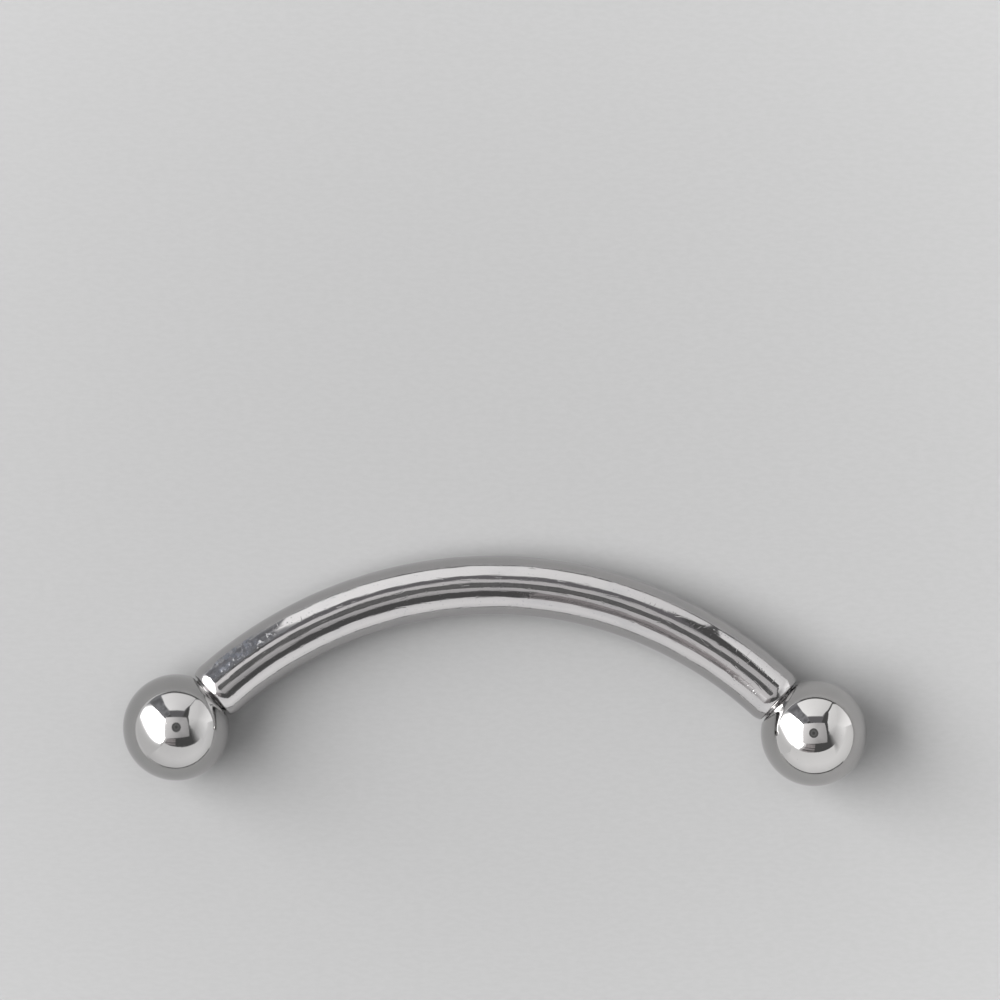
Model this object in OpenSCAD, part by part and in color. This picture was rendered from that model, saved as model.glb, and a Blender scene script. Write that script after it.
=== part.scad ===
// Curved barbell for an eyebrow piercing: a bent steel bar with a ball screwed on each end.
// It lies as it rests by itself: on both balls and on the middle of its bend.

/* [Bar] */
// Thickness of the round bar, 14 gauge
bar_d = 1.65; // [1.5:0.05:1.8]
// Straight distance between the middles of the two end faces
bar_span = 16; // [12:0.5:18]
// Radius of the bend, at the middle of the bar's thickness
bend_r = 11.6; // [10.5:0.1:14]
// Straight stretch at each end of the bend
straight_len = 0.2; // [0.15:0.05:1]
// Chamfer around each end face
rim_chamfer = 0.07; // [0.02:0.01:0.12]

/* [Balls] */
// Diameter of each ball
ball_d = 3; // [2.8:0.1:4]
// Diameter of the flat around the hole in each ball
flat_d = 1.55; // [1.45:0.05:1.7]
// Gap between a bar end face and the flat of the ball screwed up to it
seat_gap = 0.07; // [0.03:0.01:0.1]

/* [Screw posts] */
// Outer diameter of the screw post at each end of the bar
post_d = 1.2; // [1:0.05:1.25]
// Length of each post beyond its end face
post_len = 1.8; // [1.2:0.1:1.9]
// Chamfer at the tip of each post
post_chamfer = 0.15; // [0.05:0.05:0.25]
// Gap all round between a post and the wall of its hole
post_play = 0.03; // [0.01:0.01:0.05]
// Depth of each hole from the flat, without its drilled tip
hole_depth = 2; // [1.9:0.05:2.1]
// Chamfer around the mouth of each hole
mouth_chamfer = 0.05; // [0.01:0.01:0.05]

/* [Hidden] */
$fn = 128;
bar_r = bar_d / 2;
ball_r = ball_d / 2;
post_r = post_d / 2;
hole_r = post_r + post_play;
mouth_r = hole_r + mouth_chamfer;
// Half the angle of the drill's point, which leaves a cone at the bottom of each hole
drill_half = 59;
drill_tip = hole_r / tan(drill_half);
// A cut starts this far outside the face that it opens
cut_over = 0.5;

// Half the angle that the bend turns through, from the span, the radius and the straight ends
bend_half = asin(bar_span / 2 / norm([bend_r, straight_len])) - atan(straight_len / bend_r);
// Distance from the middle of a ball to its flat, and on to the bar's end face
flat_off = sqrt(ball_r * ball_r - flat_d * flat_d / 4);
ball_off = flat_off + seat_gap;
// Middle of the right ball, measured from the centre of the bend in the bend's own plane
ball_x = bar_span / 2 + ball_off * cos(bend_half);
ball_y = bend_r * cos(bend_half) - (straight_len + ball_off) * sin(bend_half);

// The balls are thicker than the bar, so the middle of the bend dips until it touches down too
rest_tilt = asin((ball_r - bar_r) / (bend_r - ball_y));
rest_z = bar_r + bend_r * sin(rest_tilt);
rest_y = (ball_r - bar_r - (bend_r + ball_y) * cos(rest_tilt)) / 2;

// From the bend's own plane to the way that the whole barbell lies
module at_rest() {
    translate([0, rest_y, rest_z]) rotate([-rest_tilt, 0, 0]) children();
}

// At the end of the bend on the right, with +Z running out along the bar
module at_right_end() {
    rotate([0, 0, -bend_half]) translate([0, bend_r, 0]) rotate([0, 90, 0]) children();
}

module at_left_end() {
    mirror([1, 0, 0]) at_right_end() children();
}

module bend() {
    rotate([0, 0, 90 - bend_half])
        rotate_extrude(angle = 2 * bend_half)
            translate([bend_r, 0]) circle(r = bar_r);
}

// Straight end of the bar, its chamfered end face and the post that stands on it
module bar_end() {
    face = straight_len;
    tip = face + post_len;
    rotate_extrude()
        polygon([
            [0, 0],
            [bar_r, 0],
            [bar_r, face - rim_chamfer],
            [bar_r - rim_chamfer, face],
            [post_r, face],
            [post_r, tip - post_chamfer],
            [post_r - post_chamfer, tip],
            [0, tip]
        ]);
}

// Right half of the section through a ball, with its hole opening downwards
module ball_section() {
    difference() {
        intersection() {
            circle(r = ball_r);
            translate([0, -flat_off]) square([ball_r, flat_off + ball_r]);
        }
        translate([0, -flat_off])
            polygon([
                [0, -cut_over],
                [mouth_r, -cut_over],
                [mouth_r, 0],
                [hole_r, mouth_chamfer],
                [hole_r, hole_depth],
                [0, hole_depth + drill_tip]
            ]);
    }
}

// Ball as it sits beyond the end of the bend
module seated_ball() {
    translate([0, 0, straight_len + ball_off]) rotate_extrude() ball_section();
}

module curved_bar() {
    color("silver") at_rest() {
        bend();
        at_right_end() bar_end();
        at_left_end() bar_end();
    }
}

module ball_left() {
    color("gainsboro") at_rest() at_left_end() seated_ball();
}

module ball_right() {
    color("gainsboro") at_rest() at_right_end() seated_ball();
}

curved_bar();
ball_left();
ball_right();
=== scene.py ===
# Looks of a curved eyebrow barbell in polished steel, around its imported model. Metres, +Z up.
import math

import bpy
import numpy as np
from mathutils import Matrix, Vector


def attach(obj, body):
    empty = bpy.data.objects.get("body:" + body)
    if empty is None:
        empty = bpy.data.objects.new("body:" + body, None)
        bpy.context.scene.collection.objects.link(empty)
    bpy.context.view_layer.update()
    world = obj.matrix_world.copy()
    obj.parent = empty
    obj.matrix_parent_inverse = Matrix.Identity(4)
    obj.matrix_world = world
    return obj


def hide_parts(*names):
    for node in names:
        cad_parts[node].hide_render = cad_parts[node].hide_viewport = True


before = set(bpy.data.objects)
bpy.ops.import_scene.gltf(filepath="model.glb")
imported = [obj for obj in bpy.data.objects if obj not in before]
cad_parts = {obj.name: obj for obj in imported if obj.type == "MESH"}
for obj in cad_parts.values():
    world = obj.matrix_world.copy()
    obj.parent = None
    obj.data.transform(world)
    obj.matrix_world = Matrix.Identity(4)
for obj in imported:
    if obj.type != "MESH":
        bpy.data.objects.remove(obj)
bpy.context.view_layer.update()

MM = 0.001
METRES_TO_MM = (1000, 1000, 1000)

# Sizes of the solids, in mm
BAR_R = 0.825
BAR_SPAN = 16.0
BEND_R = 11.6
STRAIGHT_LEN = 0.2
BALL_R = 1.5
FLAT_R = 0.775
SEAT_GAP = 0.07
POST_R = 0.6
POST_LEN = 1.8
POST_CHAMFER = 0.15
POST_PLAY = 0.03
HOLE_DEPTH = 2.0

# Finish of the edges, in mm
ROUND_OFF_R = 0.56
ROUND_OFF_TILT = math.radians(28)
FACE_FILLET = 0.05
FLAT_FILLET = 0.2
MOUTH_R = 0.66
MOUTH_FILLET = 0.01

# Screw thread, in mm: depth is five eighths of the height of a 60 degree thread's triangle. Its crest
# is flat over an eighth of the pitch and its root over a quarter, and it fades out at the end face
PITCH = 0.25
THREAD_DEPTH = PITCH * math.sqrt(3) / 2 * 5 / 8
CREST_HALF = 1 / 16
FLANK = 5 / 16
THREAD_FADE = 0.06
DRILL_HALF_ANGLE = math.radians(59)

# Fineness of the meshes, in mm where it is a length. Foot rings lie this far outside the post's foot,
# and tip and drill rings at these shares of the radius of a post's tip and of a hole's end
BAR_SIDES = 128
BALL_SIDES = 160
ROWS_PER_PITCH = 16
FILLET_ROWS = 14
ROUND_OFF_ROWS = 26
FLAT_FILLET_ROWS = 16
MOUTH_ROWS = 4
BAR_STEP = 0.07
BALL_STEP = math.radians(1.4)
POLE_STEP = math.radians(0.5)
FOOT_RINGS = (0.005, 0.02)
FACE_EDGE = 0.01
TIP_RINGS = (0.3, 0.7, 0.95)
DRILL_RINGS = (1.0, 0.6, 0.25, 0.02)

# How the barbell lies, worked out as for the solids
BEND_HALF = (math.asin(BAR_SPAN / 2 / math.hypot(BEND_R, STRAIGHT_LEN))
             - math.atan(STRAIGHT_LEN / BEND_R))
FLAT_OFF = math.sqrt(BALL_R ** 2 - FLAT_R ** 2)
BALL_OFF = FLAT_OFF + SEAT_GAP
BALL_Y = BEND_R * math.cos(BEND_HALF) - (STRAIGHT_LEN + BALL_OFF) * math.sin(BEND_HALF)
TILT = math.asin((BALL_R - BAR_R) / (BEND_R - BALL_Y))
REST_Z = BAR_R + BEND_R * math.sin(TILT)
REST_Y = (BALL_R - BAR_R - (BEND_R + BALL_Y) * math.cos(TILT)) / 2

# Distance along the bar's middle from the top of the bend to the end of the bend and to the end face
ARC_END = BEND_R * BEND_HALF
FACE_AT = ARC_END + STRAIGHT_LEN
BALL_AT = FACE_AT + BALL_OFF

# The photograph's camera, in mm and degrees: almost straight above, leaning a little
CAMERA_TARGET = (0.092, 4.715, 0.0)
CAMERA_DISTANCE = 160.0
CAMERA_LEAN = (-2.0, 4.0)
CAMERA_TURN = 0.6
FRAME_WIDTH = 28.39
SENSOR = 36.0
CLIP = (0.01, 10.0)

# The two steels: base colour where it is bright and where it is dull, and roughness there. On the bar's
# scuffed strip the dull colour is also a painted reflection: a darker bluish tint like the dark panel there
BAR_COLOUR = (0.453, 0.444, 0.444)
BAR_DULL_AND_PAINTED_REFLECTION = (0.27, 0.28, 0.31)
BAR_ROUGHNESS = (0.06, 0.28)
BAR_ANISOTROPY = 0.85
BALL_COLOUR = (0.463, 0.455, 0.449)
BALL_DULL = (0.352, 0.35, 0.35)
BALL_ROUGHNESS = (0.04, 0.12)
LEFT_BALL_DULLER = 0.4

# Height of each kind of relief, in thousandths of a mm, where a cut is negative
BAR_LINES = 2.0
BAR_WAVES = 7.0
BAR_SCRATCHES = -0.8
BAR_CROSSING = -0.5
BAR_PITS = -0.9
BAR_DENTS = 13
BALL_WAVES = 5.0
BALL_GRAIN = 0.04
BALL_SCRATCHES = -0.15
BALL_CROSSING = -0.12
BALL_PITS = -0.6

# Pits: cells to a mm and the share of a cell that a pit takes up
BAR_PIT_CELLS = (9.0, 0.22)
BALL_PIT_CELLS = (5.0, 0.12)

# Unrolled surface of the bar, round and along, in mm
BAR_UNROLLED = (2 * math.pi * BAR_R, 2 * (FACE_AT + POST_LEN), 1)

# Scuffed strip, in mm, which also carries a painted reflection, a darker bluish tint like the dark panel
# the steel shows there: its start and end along the bar, its middle round the bar from the underside, its
# half width, and how far its edges wander along and round the bar
SCUFF_AND_PAINTED_REFLECTION_START = (-8.6, -8.3)
SCUFF_AND_PAINTED_REFLECTION_END = (-7.2, -6.4)
SCUFF_AND_PAINTED_REFLECTION_MIDDLE = 0.417 * BAR_UNROLLED[0]
SCUFF_AND_PAINTED_REFLECTION_HALF_WIDTH = (0.2, 0.26)
SCUFF_AND_PAINTED_REFLECTION_WANDER = (1.2, 0.12)

# Floor: its reach in mm, and its colour from left to right between two places in metres, painted paler to
# the right as painted light where less light falls. Painted light also makes it paler outwards from its
# middle, with the square of the distance in units of so many metres, up to a limit
FLOOR_REACH = 1500
FLOOR_TONE_AND_PAINTED_LIGHT = (0.1686, 0.2189)
FLOOR_TONE_AND_PAINTED_LIGHT_X = (-0.03, 0.03)
FLOOR_MIDDLE = (0, 0.0045, 0)
FLOOR_UNIT = 0.014
FLOOR_PAINTED_PALER = 0.08
FLOOR_PAINTED_PALER_LIMIT = 2
FLOOR_FIBRES = (0.988, 1.02)

# Radiance of what the steel reflects, where a white sheet under this light has about 1. The light of a
# panel dimmer than DIM is left to the rays that hit it
SOFTBOX = 14.5
SPILL = 1.5
SIDE_WALL = 1.0
FRONT = 1.2
TABLE = 1.05
BAND = 0.24
WEDGE = 0.34
STRIP_LEFT, STRIP_RIGHT = 0.68, 0.4
DARK = 0.13
DIM = 0.7

# Distances of the panels from the middle of the frame, in mm
CEILING_Z = 162.0
WALL = 170.0
BEHIND = 200.0
SLATS = ((235, 252), (290, 318), (372, 395))
STRIP_ENDS = (-290, -6)

# Corners of the panels: two coordinates in mm, radiance, and feather, which is the share of the way to
# the panel's middle over which its edge fades there
CEILING_PANEL = (
    (-84, 84, 1.6, 0), (25, 85, 0.783, 0), (70, 86, 0.783, 0), (83, -43, 0.58, 0), (28, -47, 0.58, 0),
    (-81, -56, 1.28, 0))
BACK_PANEL = (
    (-92, 12, 1.66, 0.04), (108, 12, 1.2, 0.04), (96, 95, 1.2, 0.04), (71, 182, 1.2, 0.2),
    (-69, 184, 1.66, 0.2), (-88, 105, 1.66, 0.04))
RIGHT_PANEL = (
    (-120, 0, 1.6, 0.03), (15, 1, 2.0, 0.03), (150, 2, 1.25, 0.03), (215, 5, 1.15, 0.03),
    (262, 34, 1.3, 0.03), (282, 190, 1.4, 0.03), (186, 308, 1.4, 0.03), (72, 325, 1.1, 0.15),
    (22, 300, 0.85, 0.4), (-40, 238, 0.7, 0.6), (-105, 165, 0.85, 0.6))
SOFTBOX_PANEL = (
    (175, 400, SOFTBOX, 0), (-112, 400, SOFTBOX, 0.08), (-150, 285, SOFTBOX, 0.16),
    (-142, 212, SOFTBOX, 0.3), (-97, 155, SOFTBOX, 0.4), (-48, 112, SOFTBOX, 0.5),
    (-5, 76, SOFTBOX, 0.5), (28, 42, SOFTBOX, 0.5), (50, 8, SOFTBOX, 0.5), (80, 6, SOFTBOX, 0.5),
    (117, 37, SOFTBOX, 0.5), (152, 75, SOFTBOX, 0.5), (180, 131, SOFTBOX, 0.5),
    (187, 215, SOFTBOX, 0.25))
LEFT_WALL = ((115, 0), (-260, 0), (-260, 215), (-100, 240), (115, 300))
TABLE_OUTLINE = (
    (-28, 90), (-170, 90), (-170, -170), (10, -170), (10, -38), (-18, -38), (-28, -25))

# The softbox's spill on the wall: how much larger than the softbox it is, about which place, in mm
SPILL_GROWTH = 1.25
SPILL_MIDDLE = (40, 180)
SPILL_FEATHER = 0.7

# White card that leans over the barbell's front, in mm: half its width, its foot, and its top, which
# sags towards its middle and turns away at the left. Its right end goes on past these corners and
# fades out. It folds at this share of its height, and its foot glows a little less
CARD_HALF = 45
CARD_FOOT_Y = -38
CARD_TOP = (-14, 18.2)
CARD_SAG_X = -1
CARD_SAG_LEFT, CARD_SAG_RIGHT = 0.018, 0.0105
CARD_TURN_X, CARD_TURN = -20, 1.2
CARD_END_FOOT = ((60, -20, 2), (75, 15, 2))
CARD_END_TOP = ((55, -8, 38.5), (60, 12, 28))
CARD_FADE = 14
CARD_FOLD = 0.6
CARD_FOOT_GLOW = 0.8

# Fill light above the barbell, in mm and watts
FILL_SIZE = 150
FILL_PLACE = (0, 4.7, 150)
FILL_WATTS = 0.124

# What the steel shows of the camera: name, radius and distance ahead of it in mm, and radiance
LENS = (("lens_rim", 28, 4, 0.16), ("lens_ring", 18, 5, 0.23), ("lens_glass", 9, 6, 0.13))
LENS_SIDES = 48


def along_bar(at):
    """Points on the bar's middle line at the signed distances from the top of the bend, with the
    direction away from the bend's centre there. Both are in the bend's own plane."""
    at = np.asarray(at, dtype=float)
    turned = np.clip(at, -ARC_END, ARC_END) / BEND_R
    beyond = at - np.clip(at, -ARC_END, ARC_END)
    outward = np.stack([np.sin(turned), np.cos(turned), np.zeros_like(at)], axis=-1)
    tangent = np.stack([np.cos(turned), -np.sin(turned), np.zeros_like(at)], axis=-1)
    return BEND_R * outward + beyond[..., None] * tangent, outward


def at_rest(points):
    """From the bend's own plane, in mm, to the way that the barbell lies, in metres."""
    x, y, z = np.moveaxis(points, -1, 0)
    turned_y = REST_Y + y * math.cos(TILT) + z * math.sin(TILT)
    turned_z = REST_Z - y * math.sin(TILT) + z * math.cos(TILT)
    return np.stack([x, turned_y, turned_z], axis=-1) * MM


def thread_radius(height, angle, major):
    """Radius of a right-handed thread at a height above the bar's end face."""
    phase = (height / PITCH - angle / (2 * math.pi)) % 1.0
    from_crest = np.minimum(phase, 1 - phase)
    down = np.clip((from_crest - CREST_HALF) / FLANK, 0, 1)
    return major - THREAD_DEPTH * down * down * (3 - 2 * down)


def arc(middle_at, middle_r, radius, start, end, count):
    """Profile points on an arc. The angle is 0 away from the axis and a quarter turn along it."""
    angles = np.linspace(start, end, count)
    return [(middle_at + radius * math.sin(a), middle_r + radius * math.cos(a)) for a in angles]


def sweep(name, profile, side, sides):
    """A closed mesh from rings around the bar's middle line. Each profile row is (distance from the
    top of the bend, radius), where the radius is a number or one for each side."""
    angle = np.arange(sides) / sides * 2 * math.pi
    at = np.array([row[0] for row in profile]) * side
    radius = np.array([np.broadcast_to(row[1], sides) for row in profile])
    middle, outward = along_bar(at)
    across = outward[:, None, :] * np.sin(angle)[None, :, None]
    across[:, :, 2] -= np.cos(angle)
    rings = at_rest(middle[:, None, :] + radius[:, :, None] * across)

    first, last = rings[0].mean(axis=0), rings[-1].mean(axis=0)
    points = np.concatenate([rings.reshape(-1, 3), [first, last]])
    count = len(profile)
    step = np.linalg.norm(np.diff(rings.mean(axis=1), axis=0), axis=1)
    step = np.hypot(step, np.abs(np.diff(radius.mean(axis=1))) * MM)
    length = np.concatenate([[0], np.cumsum(step)])
    length = (length / length[-1]).tolist()

    faces, corners = [], []
    for i in range(count - 1):
        for j in range(sides):
            k = (j + 1) % sides
            faces.append((i * sides + j, i * sides + k, (i + 1) * sides + k, (i + 1) * sides + j))
            u, v = j / sides, (j + 1) / sides
            corners += [(u, length[i]), (v, length[i]), (v, length[i + 1]), (u, length[i + 1])]
    for ring, middle_point, place in ((0, count * sides, 0.0), (count - 1, count * sides + 1, 1.0)):
        for j in range(sides):
            k = (j + 1) % sides
            ends = (ring * sides + j, ring * sides + k)
            faces.append((*ends, middle_point) if ring else (ends[1], ends[0], middle_point))
            u, v = (j / sides, (j + 1) / sides) if ring else ((j + 1) / sides, j / sides)
            corners += [(u, place), (v, place), ((u + v) / 2, place)]

    mesh = bpy.data.meshes.new(name)
    mesh.from_pydata(points.tolist(), [], faces)
    layer = mesh.uv_layers.new(name="around_and_along")
    layer.data.foreach_set("uv", np.array(corners, dtype=np.float32).ravel())
    if side > 0:
        mesh.flip_normals()
    mesh.shade_smooth()
    mesh.validate()
    along = mesh.attributes.new("along", "FLOAT", "POINT")
    along.data.foreach_set("value", [*np.repeat(at, sides), at[0], at[-1]])
    piece = bpy.data.objects.new(name, mesh)
    bpy.context.scene.collection.objects.link(piece)
    return piece


def end_angle(side, sides):
    """Angles of the rings' corners, right-handed about the way out of that end of the bar."""
    return -side * np.arange(sides) / sides * 2 * math.pi


def post_rows(side):
    """The threaded post from the middle of its tip to the bar's end face."""
    angle = end_angle(side, BAR_SIDES)
    tip_r = POST_R - POST_CHAMFER
    rows = [(FACE_AT + POST_LEN, tip_r * share) for share in TIP_RINGS]
    for height in np.arange(POST_LEN, 0, -PITCH / ROWS_PER_PITCH):
        cone = tip_r + POST_LEN - height
        thread = thread_radius(height, angle, POST_R)
        faded = POST_R + (thread - POST_R) * min(1, height / THREAD_FADE)
        rows.append((FACE_AT + height, np.minimum(faded, cone)))
    return rows


def bar_end_rows(side):
    """From the tip of a post over the end face and its polished-off rim to the full thickness."""
    rim_r = BAR_R - ROUND_OFF_R * (1 - math.cos(ROUND_OFF_TILT))
    fillet_r = rim_r - FACE_FILLET * math.cos(ROUND_OFF_TILT)
    rim_at = FACE_AT - FACE_FILLET * (1 - math.sin(ROUND_OFF_TILT))
    full_at = rim_at - ROUND_OFF_R * math.sin(ROUND_OFF_TILT)

    rows = post_rows(side)
    rows += [(FACE_AT, POST_R + out) for out in FOOT_RINGS]
    rows.append((FACE_AT, fillet_r - FACE_EDGE))
    rows += arc(FACE_AT - FACE_FILLET, fillet_r, FACE_FILLET, math.pi / 2, ROUND_OFF_TILT, FILLET_ROWS)
    rows += arc(full_at, BAR_R - ROUND_OFF_R, ROUND_OFF_R, ROUND_OFF_TILT, 0, ROUND_OFF_ROWS)[1:]
    return rows


def make_bar():
    """The bar with its two posts, from the tip on the right to the tip on the left."""
    right, left = bar_end_rows(1), bar_end_rows(-1)
    reach = right[-1][0]
    between = np.linspace(reach, -reach, round(2 * reach / BAR_STEP))[1:-1]
    rows = right + [(at, BAR_R) for at in between] + [(-at, r) for at, r in reversed(left)]
    return sweep("curved_bar_polished", rows, 1, BAR_SIDES)


def make_ball(name, side):
    """A ball from its far pole round to the flat, and down its threaded hole to the drilled tip."""
    flat_at = BALL_AT - FLAT_OFF
    fillet_at = flat_at + FLAT_FILLET
    fillet_r = math.sqrt((BALL_R - FLAT_FILLET) ** 2 - (FLAT_OFF - FLAT_FILLET) ** 2)
    fillet_tilt = math.asin((FLAT_OFF - FLAT_FILLET) / (BALL_R - FLAT_FILLET))
    rows = arc(BALL_AT, 0, BALL_R, math.pi / 2 - POLE_STEP, -fillet_tilt,
               round((math.pi / 2 + fillet_tilt) / BALL_STEP))
    rows += arc(fillet_at, fillet_r, FLAT_FILLET, -fillet_tilt, -math.pi / 2, FLAT_FILLET_ROWS)[1:]
    rows += [(flat_at, (fillet_r + MOUTH_R) / 2), (flat_at, MOUTH_R + MOUTH_FILLET)]

    angle = end_angle(side, BALL_SIDES)
    rows += arc(flat_at + MOUTH_FILLET, MOUTH_R + MOUTH_FILLET, -MOUTH_FILLET, math.pi / 2, 0, MOUTH_ROWS)
    hole_r = POST_R + POST_PLAY
    for depth in np.arange(2 * MOUTH_FILLET, HOLE_DEPTH, PITCH / ROWS_PER_PITCH):
        thread = thread_radius(depth + SEAT_GAP, angle, hole_r)
        mouth = MOUTH_R - depth
        rows.append((flat_at + depth, np.maximum(thread, mouth)))
    drill_r = hole_r - THREAD_DEPTH
    for share in DRILL_RINGS:
        depth = HOLE_DEPTH + (1 - share) * drill_r / math.tan(DRILL_HALF_ANGLE)
        rows.append((flat_at + depth, drill_r * share))
    return sweep(name, rows, side, BALL_SIDES)


def nodes_of(name):
    """A new material and its node tree, emptied."""
    material = bpy.data.materials.new(name)
    material.use_nodes = True
    material.node_tree.nodes.clear()
    return material, material.node_tree


def add(tree, kind, **values):
    """A node with its properties and its inputs' constant values set by name."""
    node = tree.nodes.new(kind)
    for name, value in values.items():
        if hasattr(node, name):
            setattr(node, name, value)
        else:
            node.inputs[name.replace("_", " ")].default_value = value
    return node


def noise(tree, vector, scale, detail=2.0, stretch=(1, 1, 1), turn=0.0):
    """Noise between 0 and 1, drawn out where the stretch is small."""
    place = add(tree, "ShaderNodeMapping", Scale=stretch, Rotation=(0, 0, math.radians(turn)))
    tree.links.new(vector, place.inputs["Vector"])
    node = add(tree, "ShaderNodeTexNoise", Scale=scale, Detail=detail)
    tree.links.new(place.outputs["Vector"], node.inputs["Vector"])
    return node.outputs["Fac"]


def spread(tree, value, low, high, to_low=0.0, to_high=1.0):
    """Takes low to to_low and high to to_high, smoothly, and keeps to them outside."""
    node = add(tree, "ShaderNodeMapRange", interpolation_type="SMOOTHSTEP", From_Min=low,
               From_Max=high, To_Min=to_low, To_Max=to_high)
    tree.links.new(value, node.inputs["Value"])
    return node.outputs["Result"]


def math_node(tree, operation, *values):
    """The operation on values that are plain numbers or outputs of nodes."""
    node = add(tree, "ShaderNodeMath", operation=operation)
    for socket, value in zip(node.inputs, values):
        if isinstance(value, (int, float)):
            socket.default_value = value
        else:
            tree.links.new(value, socket)
    return node.outputs["Value"]


def product(tree, a, b):
    return math_node(tree, "MULTIPLY", a, b)


def total(tree, *values):
    """All the values added up, in their order."""
    result = values[0]
    for value in values[1:]:
        result = math_node(tree, "ADD", result, value)
    return result


def hairlines(tree, vector, scale, stretch, turn, width):
    """Thin broken scratches: where stretched noise crosses its middle, but not everywhere."""
    field = noise(tree, vector, scale, 1.0, stretch, turn)
    off = math_node(tree, "ABSOLUTE", math_node(tree, "SUBTRACT", field, 0.5))
    line = spread(tree, off, 0, width, 1.0, 0.0)
    broken = spread(tree, noise(tree, vector, scale * 0.8, 1.0), 0.5, 0.62)
    return product(tree, line, broken)


def specks(tree, vector, scale, size):
    """Sparse round pits."""
    cells = add(tree, "ShaderNodeTexVoronoi", Scale=scale)
    tree.links.new(vector, cells.inputs["Vector"])
    pit = spread(tree, cells.outputs["Distance"], 0, size, 1.0, 0.0)
    sparse = spread(tree, noise(tree, vector, scale * 0.4, 1.0), 0.44, 0.56)
    return product(tree, pit, sparse)


def facets(tree, vector, scale):
    """Uneven dents with ridges between them, about 0 in the mean."""
    bent = add(tree, "ShaderNodeVectorMath", operation="MULTIPLY_ADD")
    wander = add(tree, "ShaderNodeTexNoise", Scale=scale, Detail=1.0)
    tree.links.new(vector, wander.inputs["Vector"])
    tree.links.new(wander.outputs["Color"], bent.inputs[0])
    bent.inputs[1].default_value = (0.25, 0.25, 0)
    tree.links.new(vector, bent.inputs[2])
    cells = add(tree, "ShaderNodeTexVoronoi", Scale=scale, voronoi_dimensions="2D")
    tree.links.new(bent.outputs["Vector"], cells.inputs["Vector"])
    return total(tree, cells.outputs["Distance"], -0.4)


def in_mm(tree, kind, scale):
    """Texture coordinates in mm, from the mesh's own place or from its unrolled surface."""
    where = add(tree, "ShaderNodeTexCoord")
    place = add(tree, "ShaderNodeMapping", Scale=scale)
    tree.links.new(where.outputs[kind], place.inputs["Vector"])
    return place.outputs["Vector"]


def x_of(tree, vector):
    split = add(tree, "ShaderNodeSeparateXYZ")
    tree.links.new(vector, split.inputs["Vector"])
    return split.outputs["X"]


def steel(name, colour, dull, roughness, relief, dull_where, anisotropy=0.0):
    """Polished surgical steel, from functions that add its relief and its duller places, which on the bar
    include a painted reflection. Colour and roughness go from bright to dull."""
    material, tree = nodes_of(name)
    link = tree.links.new
    shader = add(tree, "ShaderNodeBsdfPrincipled", Metallic=1.0, Anisotropic=anisotropy)
    dullness = dull_where(tree)
    tint = add(tree, "ShaderNodeMix", data_type="RGBA")
    tint.inputs["A"].default_value = (*colour, 1)
    tint.inputs["B"].default_value = (*dull, 1)
    link(dullness, tint.inputs["Factor"])
    link(tint.outputs["Result"], shader.inputs["Base Color"])
    link(spread(tree, dullness, 0, 1, *roughness), shader.inputs["Roughness"])
    bump = add(tree, "ShaderNodeBump", Strength=1.0, Distance=0.001 * MM)
    link(relief(tree), bump.inputs["Height"])
    link(bump.outputs["Normal"], shader.inputs["Normal"])
    if anisotropy:
        around = add(tree, "ShaderNodeTangent", direction_type="UV_MAP", uv_map="around_and_along")
        link(around.outputs["Tangent"], shader.inputs["Tangent"])
    out = add(tree, "ShaderNodeOutputMaterial")
    link(shader.outputs["BSDF"], out.inputs["Surface"])
    return material


def bar_relief(tree):
    """Polishing lines along the bar, slow waviness, hairline scratches, pits and the strip's dents."""
    place = in_mm(tree, "UV", BAR_UNROLLED)
    lines = noise(tree, place, 14, 3.0, (1, 0.08, 1))
    waves = noise(tree, place, 2.2, 1.0, (1, 0.5, 1))
    scratches = hairlines(tree, place, 3.0, (1, 0.25, 1), 12, 0.02)
    crossing = hairlines(tree, place, 4.0, (0.4, 1, 1), -50, 0.03)
    pits = specks(tree, place, *BAR_PIT_CELLS)
    dents = product(tree, facets(tree, place, 4.5), BAR_DENTS)
    return total(tree,
                 product(tree, lines, BAR_LINES),
                 product(tree, waves, BAR_WAVES),
                 product(tree, scratches, BAR_SCRATCHES),
                 product(tree, crossing, BAR_CROSSING),
                 product(tree, pits, BAR_PITS),
                 product(tree, scuff_and_painted_reflection_patch(tree), dents))


def scuff_and_painted_reflection_patch(tree):
    """Scuffed strip near the left end, along the outer side of the bend. Its dents are real wear, and it
    also carries a painted reflection in a darker bluish tint.
    """
    wander_along, wander_around = SCUFF_AND_PAINTED_REFLECTION_WANDER
    along = add(tree, "ShaderNodeAttribute", attribute_name="along").outputs["Fac"]
    place = in_mm(tree, "UV", BAR_UNROLLED)
    fray = noise(tree, place, 3.0, 3.0)
    frayed = total(tree, along, product(tree, fray, wander_along), -wander_along / 2)
    start = spread(tree, frayed, *SCUFF_AND_PAINTED_REFLECTION_START)
    end = spread(tree, frayed, *SCUFF_AND_PAINTED_REFLECTION_END, 1.0, 0.0)
    off_middle = total(tree, x_of(tree, place), product(tree, fray, wander_around),
                       -wander_around / 2 - SCUFF_AND_PAINTED_REFLECTION_MIDDLE)
    beside = spread(tree, math_node(tree, "ABSOLUTE", off_middle), *SCUFF_AND_PAINTED_REFLECTION_HALF_WIDTH, 1.0, 0.0)
    return product(tree, beside, product(tree, start, end))


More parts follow.
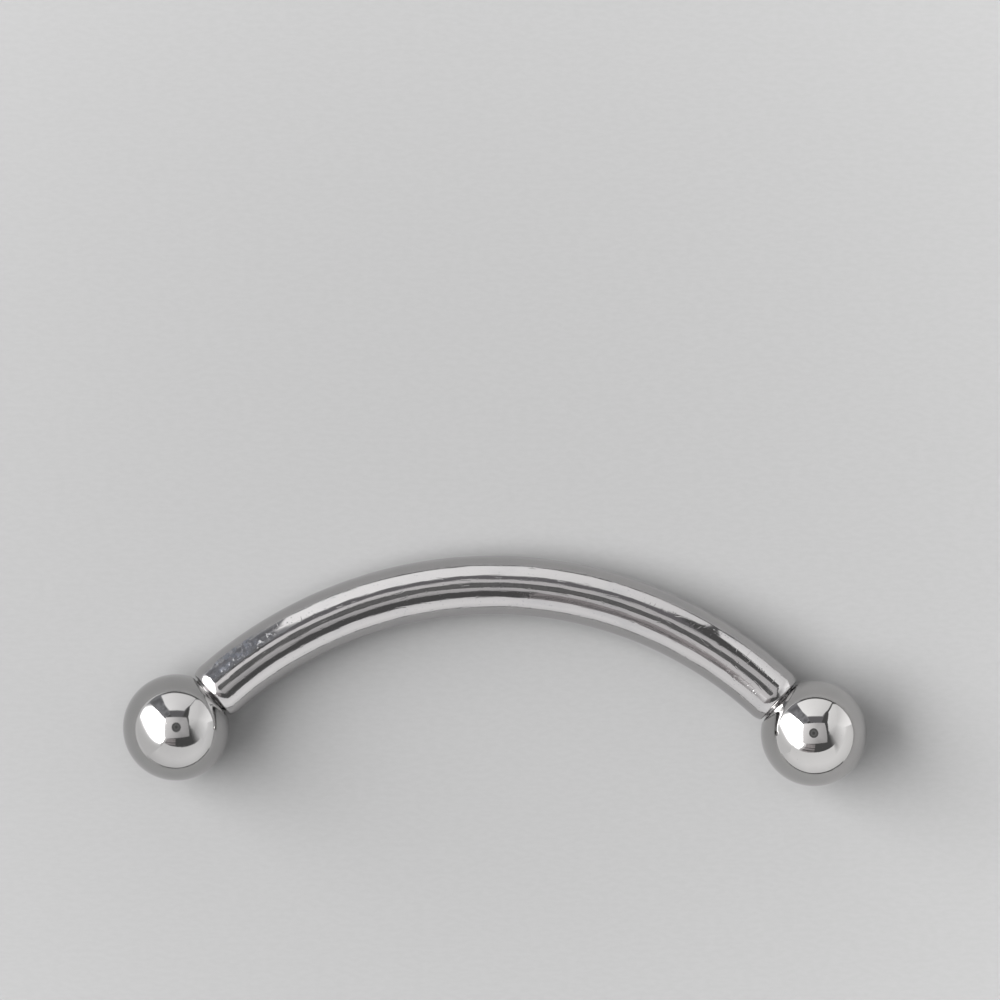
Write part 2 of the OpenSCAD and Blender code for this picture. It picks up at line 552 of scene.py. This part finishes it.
def bar_dullness_and_painted_reflection(tree):
    """Cloudy places and pits, and a painted reflection all over the scuffed strip: a mottled darker bluish
    tint.
    """
    place = in_mm(tree, "UV", BAR_UNROLLED)
    cloudy = spread(tree, noise(tree, place, 1.8, 4.0, (1, 0.4, 1)), 0.5, 0.8, 0.0, 0.25)
    pits = product(tree, specks(tree, place, *BAR_PIT_CELLS), 0.5)
    # Painted reflection: a mottled darker bluish tint on the scuffed strip, like the dark panel shown there
    painted_reflection_mottle = spread(tree, noise(tree, place, 5, 2.0), 0.35, 0.65, 0.3, 1.1)
    return total(tree, cloudy, pits, product(tree, scuff_and_painted_reflection_patch(tree), painted_reflection_mottle))


def ball_relief(tree):
    """Slow waviness, fine grain, hairline scratches in two directions and pits."""
    place = in_mm(tree, "Object", METRES_TO_MM)
    waves = noise(tree, place, 1.6, 1.0)
    grain = noise(tree, place, 16, 3.0)
    scratches = hairlines(tree, place, 1.6, (1, 0.3, 0.6), 25, 0.006)
    crossing = hairlines(tree, place, 1.9, (0.35, 1, 0.7), -20, 0.006)
    pits = specks(tree, place, *BALL_PIT_CELLS)
    return total(tree,
                 product(tree, waves, BALL_WAVES),
                 product(tree, grain, BALL_GRAIN),
                 product(tree, scratches, BALL_SCRATCHES),
                 product(tree, crossing, BALL_CROSSING),
                 product(tree, pits, BALL_PITS))


def ball_dullness(tree):
    """Cloudy places and pits, and an even haze on the ball at the left."""
    place = in_mm(tree, "Object", METRES_TO_MM)
    cloudy = spread(tree, noise(tree, place, 1.4, 4.0), 0.5, 0.8, 0.0, 0.2)
    hazy = spread(tree, x_of(tree, place), -1, 1, LEFT_BALL_DULLER, 0.0)
    return total(tree, cloudy, hazy, product(tree, specks(tree, place, *BALL_PIT_CELLS), 0.5))


def emitter(name, colour=(1, 1, 1), uneven=0.0, soft=False):
    """Glows as its mesh says, and fades out at its edges if they are soft. Uneven is the share by
    which its brightness wanders."""
    material, tree = nodes_of(name)
    link = tree.links.new
    light = add(tree, "ShaderNodeEmission", Color=(*colour, 1))
    glow = add(tree, "ShaderNodeAttribute", attribute_name="glow").outputs["Fac"]
    if uneven:
        cloud = noise(tree, in_mm(tree, "Object", (20, 20, 20)), 1.0, 1.0)
        glow = product(tree, glow, spread(tree, cloud, 0.25, 0.75, 1 - uneven, 1 + uneven))
    link(glow, light.inputs["Strength"])
    shown = light.outputs["Emission"]
    if soft:
        clear = add(tree, "ShaderNodeBsdfTransparent")
        edge = add(tree, "ShaderNodeAttribute", attribute_name="solid")
        mix = add(tree, "ShaderNodeMixShader")
        link(math_node(tree, "POWER", edge.outputs["Fac"], 2), mix.inputs["Fac"])
        link(clear.outputs["BSDF"], mix.inputs[1])
        link(shown, mix.inputs[2])
        shown = mix.outputs["Shader"]
    out = add(tree, "ShaderNodeOutputMaterial")
    link(shown, out.inputs["Surface"])
    return material


def stage_mesh(name, points, faces, material, glow=0.0, solid=1.0):
    """A thing around the barbell, hidden from the camera if it glows. Glow is the radiance and solid
    the share left of it, one number or one for each point."""
    mesh = bpy.data.meshes.new(name)
    mesh.from_pydata([tuple(c * MM for c in p) for p in points], [], faces)
    for kind, values in (("glow", glow), ("solid", solid)):
        layer = mesh.attributes.new(kind, "FLOAT", "POINT")
        layer.data.foreach_set("value", np.broadcast_to(values, len(points)).astype(np.float32))
    mesh.materials.append(material)
    thing = bpy.data.objects.new(name, mesh)
    bpy.context.scene.collection.objects.link(thing)
    thing.visible_camera = not np.any(glow)
    return thing


def panel(name, corners, radiance, feather=0.0, colour=(1, 1, 1), uneven=0.0):
    """A flat glowing panel. Radiance and feather are one number or one for each corner, and feather
    is the share of the way to its middle over which its edge fades."""
    corners = np.array(corners, dtype=float)
    middle = corners.mean(axis=0)
    count = len(corners)
    feather = np.broadcast_to(feather, count)
    radiance = np.broadcast_to(radiance, count)
    inner = corners + (middle - corners) * np.maximum(feather / 2, 0.01)[:, None]
    outer = corners - (middle - corners) * feather[:, None] / 2
    points = [*outer, *inner, middle]
    solid = [0.0 if share else 1.0 for share in feather] + [1.0] * (count + 1)
    glow = [*radiance, *radiance, radiance.mean()]
    faces = []
    for i in range(count):
        j = (i + 1) % count
        faces.append((i, j, count + j, count + i))
        faces.append((count + i, count + j, 2 * count))
    material = emitter(name, colour, uneven, soft=feather.any())
    if radiance.max() < DIM:
        material.cycles.emission_sampling = "NONE"
    return stage_mesh(name, points, faces, material, glow, solid)


def shaped_panel(name, rows, corner, colour=(1, 1, 1)):
    """A panel from rows of two coordinates, radiance and feather. Corner is a function that makes a
    place in mm of the two coordinates."""
    across, up, radiance, feather = zip(*rows)
    return panel(name, [corner(a, b) for a, b in zip(across, up)], radiance, feather, colour)


def for_steel_only(thing):
    """Keeps a thing near the floor from lighting it or shading it, so that only the steel shows it."""
    thing.visible_shadow = False
    thing.visible_diffuse = False
    thing.data.materials[0].cycles.emission_sampling = "NONE"


def make_ceiling():
    """Pale ceiling that shows round the camera."""
    shaped_panel("ceiling_panel", CEILING_PANEL, lambda x, y: (x, y, CEILING_Z), (1, 0.985, 0.99))


def make_back():
    """Pale panel beyond the bend, with a dim band above it and a dim wall at its left."""
    shaped_panel("back_panel", BACK_PANEL, lambda x, z: (x, WALL, z))
    panel("band_wall", [(-80, BEHIND, 170), (95, BEHIND, 170), (95, BEHIND, 420),
                        (-80, BEHIND, 420)], BAND, colour=(1, 0.98, 1.03))
    panel("wedge_wall", [(-90, 222, 0), (-208, 120, 0), (-208, 120, 330), (-90, 222, 330)], WEDGE,
          colour=(0.97, 0.98, 1.03), uneven=0.3)


def make_left():
    """Softbox, its spill and the wall behind it."""
    shaped_panel("softbox", SOFTBOX_PANEL, lambda y, z: (-WALL, y, z))
    middle_y, middle_z = SPILL_MIDDLE
    spill = [(-2 - WALL, middle_y + (y - middle_y) * SPILL_GROWTH, middle_z + (z - middle_z) * SPILL_GROWTH)
             for y, z, _, _ in SOFTBOX_PANEL]
    panel("softbox_spill", spill, SPILL, [0, 0] + [SPILL_FEATHER] * (len(spill) - 2))
    panel("left_wall", [(-WALL - 5, y, z) for y, z in LEFT_WALL], SIDE_WALL)


def make_right():
    """Pale panel at the right that fades out towards the ceiling."""
    shaped_panel("right_panel", RIGHT_PANEL, lambda y, z: (WALL, y, z))


def make_front_card():
    """White card that leans over the barbell's front, just outside the picture."""
    foot, top = [], []
    top_y, top_z = CARD_TOP
    for x in np.linspace(-CARD_HALF, CARD_HALF, CARD_HALF + 1):
        sag = CARD_SAG_LEFT if x < CARD_SAG_X else CARD_SAG_RIGHT
        turned_away = CARD_TURN * max(0, CARD_TURN_X - x)
        foot.append((x, CARD_FOOT_Y, 0))
        top.append((x, top_y - turned_away, top_z + sag * (x - CARD_SAG_X) ** 2))
    foot, top = np.array([*foot, *CARD_END_FOOT]), np.array([*top, *CARD_END_TOP])
    points = np.concatenate([foot, foot + (top - foot) * CARD_FOLD, top])
    count = len(foot)
    faces = [(k + i, k + i + 1, k + count + i + 1, k + count + i)
             for k in (0, count) for i in range(count - 1)]
    glow = np.repeat([CARD_FOOT_GLOW * FRONT, FRONT, FRONT], count)
    faded = np.clip((CARD_HALF - top[:, 0]) / CARD_FADE, 0, 1)
    solid = np.concatenate([np.ones(2 * count), faded])
    card = stage_mesh("front_card", points, faces, emitter("front_card", uneven=0.1, soft=True),
                      glow, solid)
    for_steel_only(card)


def make_painted_card_shade():
    """Painted shade: a thin dark strip along the foot of the card, for the shade where it meets the floor.
    """
    # A dark panel as painted shade along the card's foot
    painted_foot_shade = panel("painted_card_shade", [(-CARD_HALF, -37.5, 0), (CARD_HALF, -37.5, 0), (CARD_HALF, -34, 2.6),
                             (-CARD_HALF, -36, 0.9)], DARK)
    for_steel_only(painted_foot_shade)


def make_front_strips():
    """What shows past the sagging top of the card: a dim wall with darker slats across it."""
    low_x, high_x = STRIP_ENDS
    panel("strip_wall", [(low_x, -BEHIND, 150), (high_x, -BEHIND, 200), (high_x, -BEHIND, 600),
                         (low_x, -BEHIND, 600)], [STRIP_LEFT, STRIP_RIGHT, STRIP_RIGHT, STRIP_LEFT],
          colour=(1.05, 0.98, 0.99), uneven=0.2)
    for low, high in SLATS:
        panel("slat", [(low_x, 2 - BEHIND, low), (high_x, 2 - BEHIND, low), (high_x, 2 - BEHIND, high),
                       (low_x, 2 - BEHIND, high)], DARK)


def make_table():
    """Brighter part of the table, out of the picture, that only the steel shows."""
    for_steel_only(panel("table", [(x, y, 0.05) for x, y in TABLE_OUTLINE], TABLE))


def make_floor():
    """Pale sheet of matt paper that the barbell lies on, with painted light: paler to the right and
    outwards.
    """
    material, tree = nodes_of("floor_paper")
    link = tree.links.new
    where = add(tree, "ShaderNodeTexCoord").outputs["Object"]
    shader = add(tree, "ShaderNodeBsdfPrincipled", Roughness=0.8, Specular_IOR_Level=0.0)
    # Painted light: the paper's colour gets paler to the right and outwards from its middle
    shade = spread(tree, x_of(tree, where), *FLOOR_TONE_AND_PAINTED_LIGHT_X, *FLOOR_TONE_AND_PAINTED_LIGHT)
    away = add(tree, "ShaderNodeVectorMath", operation="DISTANCE")
    link(where, away.inputs[0])
    away.inputs[1].default_value = FLOOR_MIDDLE
    outwards = math_node(tree, "POWER", math_node(tree, "DIVIDE", away.outputs["Value"], FLOOR_UNIT), 2)
    painted_paler = product(tree, math_node(tree, "MINIMUM", outwards, FLOOR_PAINTED_PALER_LIMIT), FLOOR_PAINTED_PALER)
    fibres = noise(tree, in_mm(tree, "Object", METRES_TO_MM), 6.0, 2.0, (0.6, 1.5, 1))
    fibres_and_painted_light = total(tree, painted_paler, spread(tree, fibres, 0.3, 0.7, *FLOOR_FIBRES))
    link(product(tree, shade, fibres_and_painted_light), shader.inputs["Base Color"])
    out = add(tree, "ShaderNodeOutputMaterial")
    link(shader.outputs["BSDF"], out.inputs["Surface"])
    reach = FLOOR_REACH
    stage_mesh("floor", [(-reach, -reach, 0), (reach, -reach, 0), (reach, reach, 0), (-reach, reach, 0)],
               [(0, 1, 2, 3)], material)


def make_fill():
    """Soft light from above that lifts the shadows on the paper. The steel doesn't show it."""
    light = bpy.data.lights.new("fill", "AREA")
    light.size = FILL_SIZE * MM
    light.energy = FILL_WATTS
    holder = bpy.data.objects.new("fill", light)
    holder.location = [c * MM for c in FILL_PLACE]
    holder.visible_glossy = False
    bpy.context.scene.collection.objects.link(holder)


def make_world():
    """The dark of the studio between the panels."""
    world = bpy.data.worlds.new("studio_dark")
    world.use_nodes = True
    background = world.node_tree.nodes["Background"]
    background.inputs["Color"].default_value = (1, 1, 1, 1)
    background.inputs["Strength"].default_value = DARK
    bpy.context.scene.world = world


def make_camera():
    """The camera at the photograph's angle, on a holder of the same name."""
    camera = bpy.data.cameras.new("photo_camera")
    camera.sensor_width = SENSOR
    camera.lens = SENSOR * CAMERA_DISTANCE / FRAME_WIDTH
    camera.clip_start, camera.clip_end = CLIP
    lean_x, lean_y = (math.tan(math.radians(a)) for a in CAMERA_LEAN)
    back = Vector((lean_x, lean_y, 1)).normalized()
    right = Vector((1, 0, 0))
    right = (right - back * right.dot(back)).normalized()
    axes = Matrix((right, back.cross(right), back)).transposed().to_4x4()
    holder = bpy.data.objects.new("photo_camera", camera)
    middle = (Vector(CAMERA_TARGET) + back * CAMERA_DISTANCE) * MM
    holder.matrix_world = (Matrix.Translation(middle) @ axes
                           @ Matrix.Rotation(math.radians(CAMERA_TURN), 4, "Z"))
    bpy.context.scene.collection.objects.link(holder)
    bpy.context.scene.camera = holder
    return holder


def make_lens(camera):
    """Dark disc with a paler ring, which the steel shows where the camera is."""
    for name, radius, ahead, radiance in LENS:
        ring = [(radius * math.cos(a), radius * math.sin(a), -ahead)
                for a in np.arange(LENS_SIDES) / LENS_SIDES * 2 * math.pi]
        disc = panel(name, ring, radiance)
        disc.matrix_world = camera.matrix_world


def dress(piece, node, body, material):
    """The piece stands for its solid, which it hides, moves with its body and takes the given finish."""
    piece.data.materials.append(material)
    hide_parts(node)
    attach(piece, body)


camera = make_camera()
make_lens(camera)
make_world()
make_fill()
make_floor()
make_ceiling()
make_back()
make_left()
make_right()
make_front_card()
# Painted shade along the foot of the card
make_painted_card_shade()
make_front_strips()
make_table()
bpy.context.scene.view_settings.view_transform = "Standard"

bar_steel = steel("bar_steel", BAR_COLOUR, BAR_DULL_AND_PAINTED_REFLECTION, BAR_ROUGHNESS, bar_relief, bar_dullness_and_painted_reflection,
                  BAR_ANISOTROPY)
ball_steel = steel("ball_steel", BALL_COLOUR, BALL_DULL, BALL_ROUGHNESS, ball_relief, ball_dullness)
dress(make_bar(), "curved_bar", "bar", bar_steel)
dress(make_ball("ball_left_polished", -1), "ball_left", "left_ball", ball_steel)
dress(make_ball("ball_right_polished", 1), "ball_right", "right_ball", ball_steel)
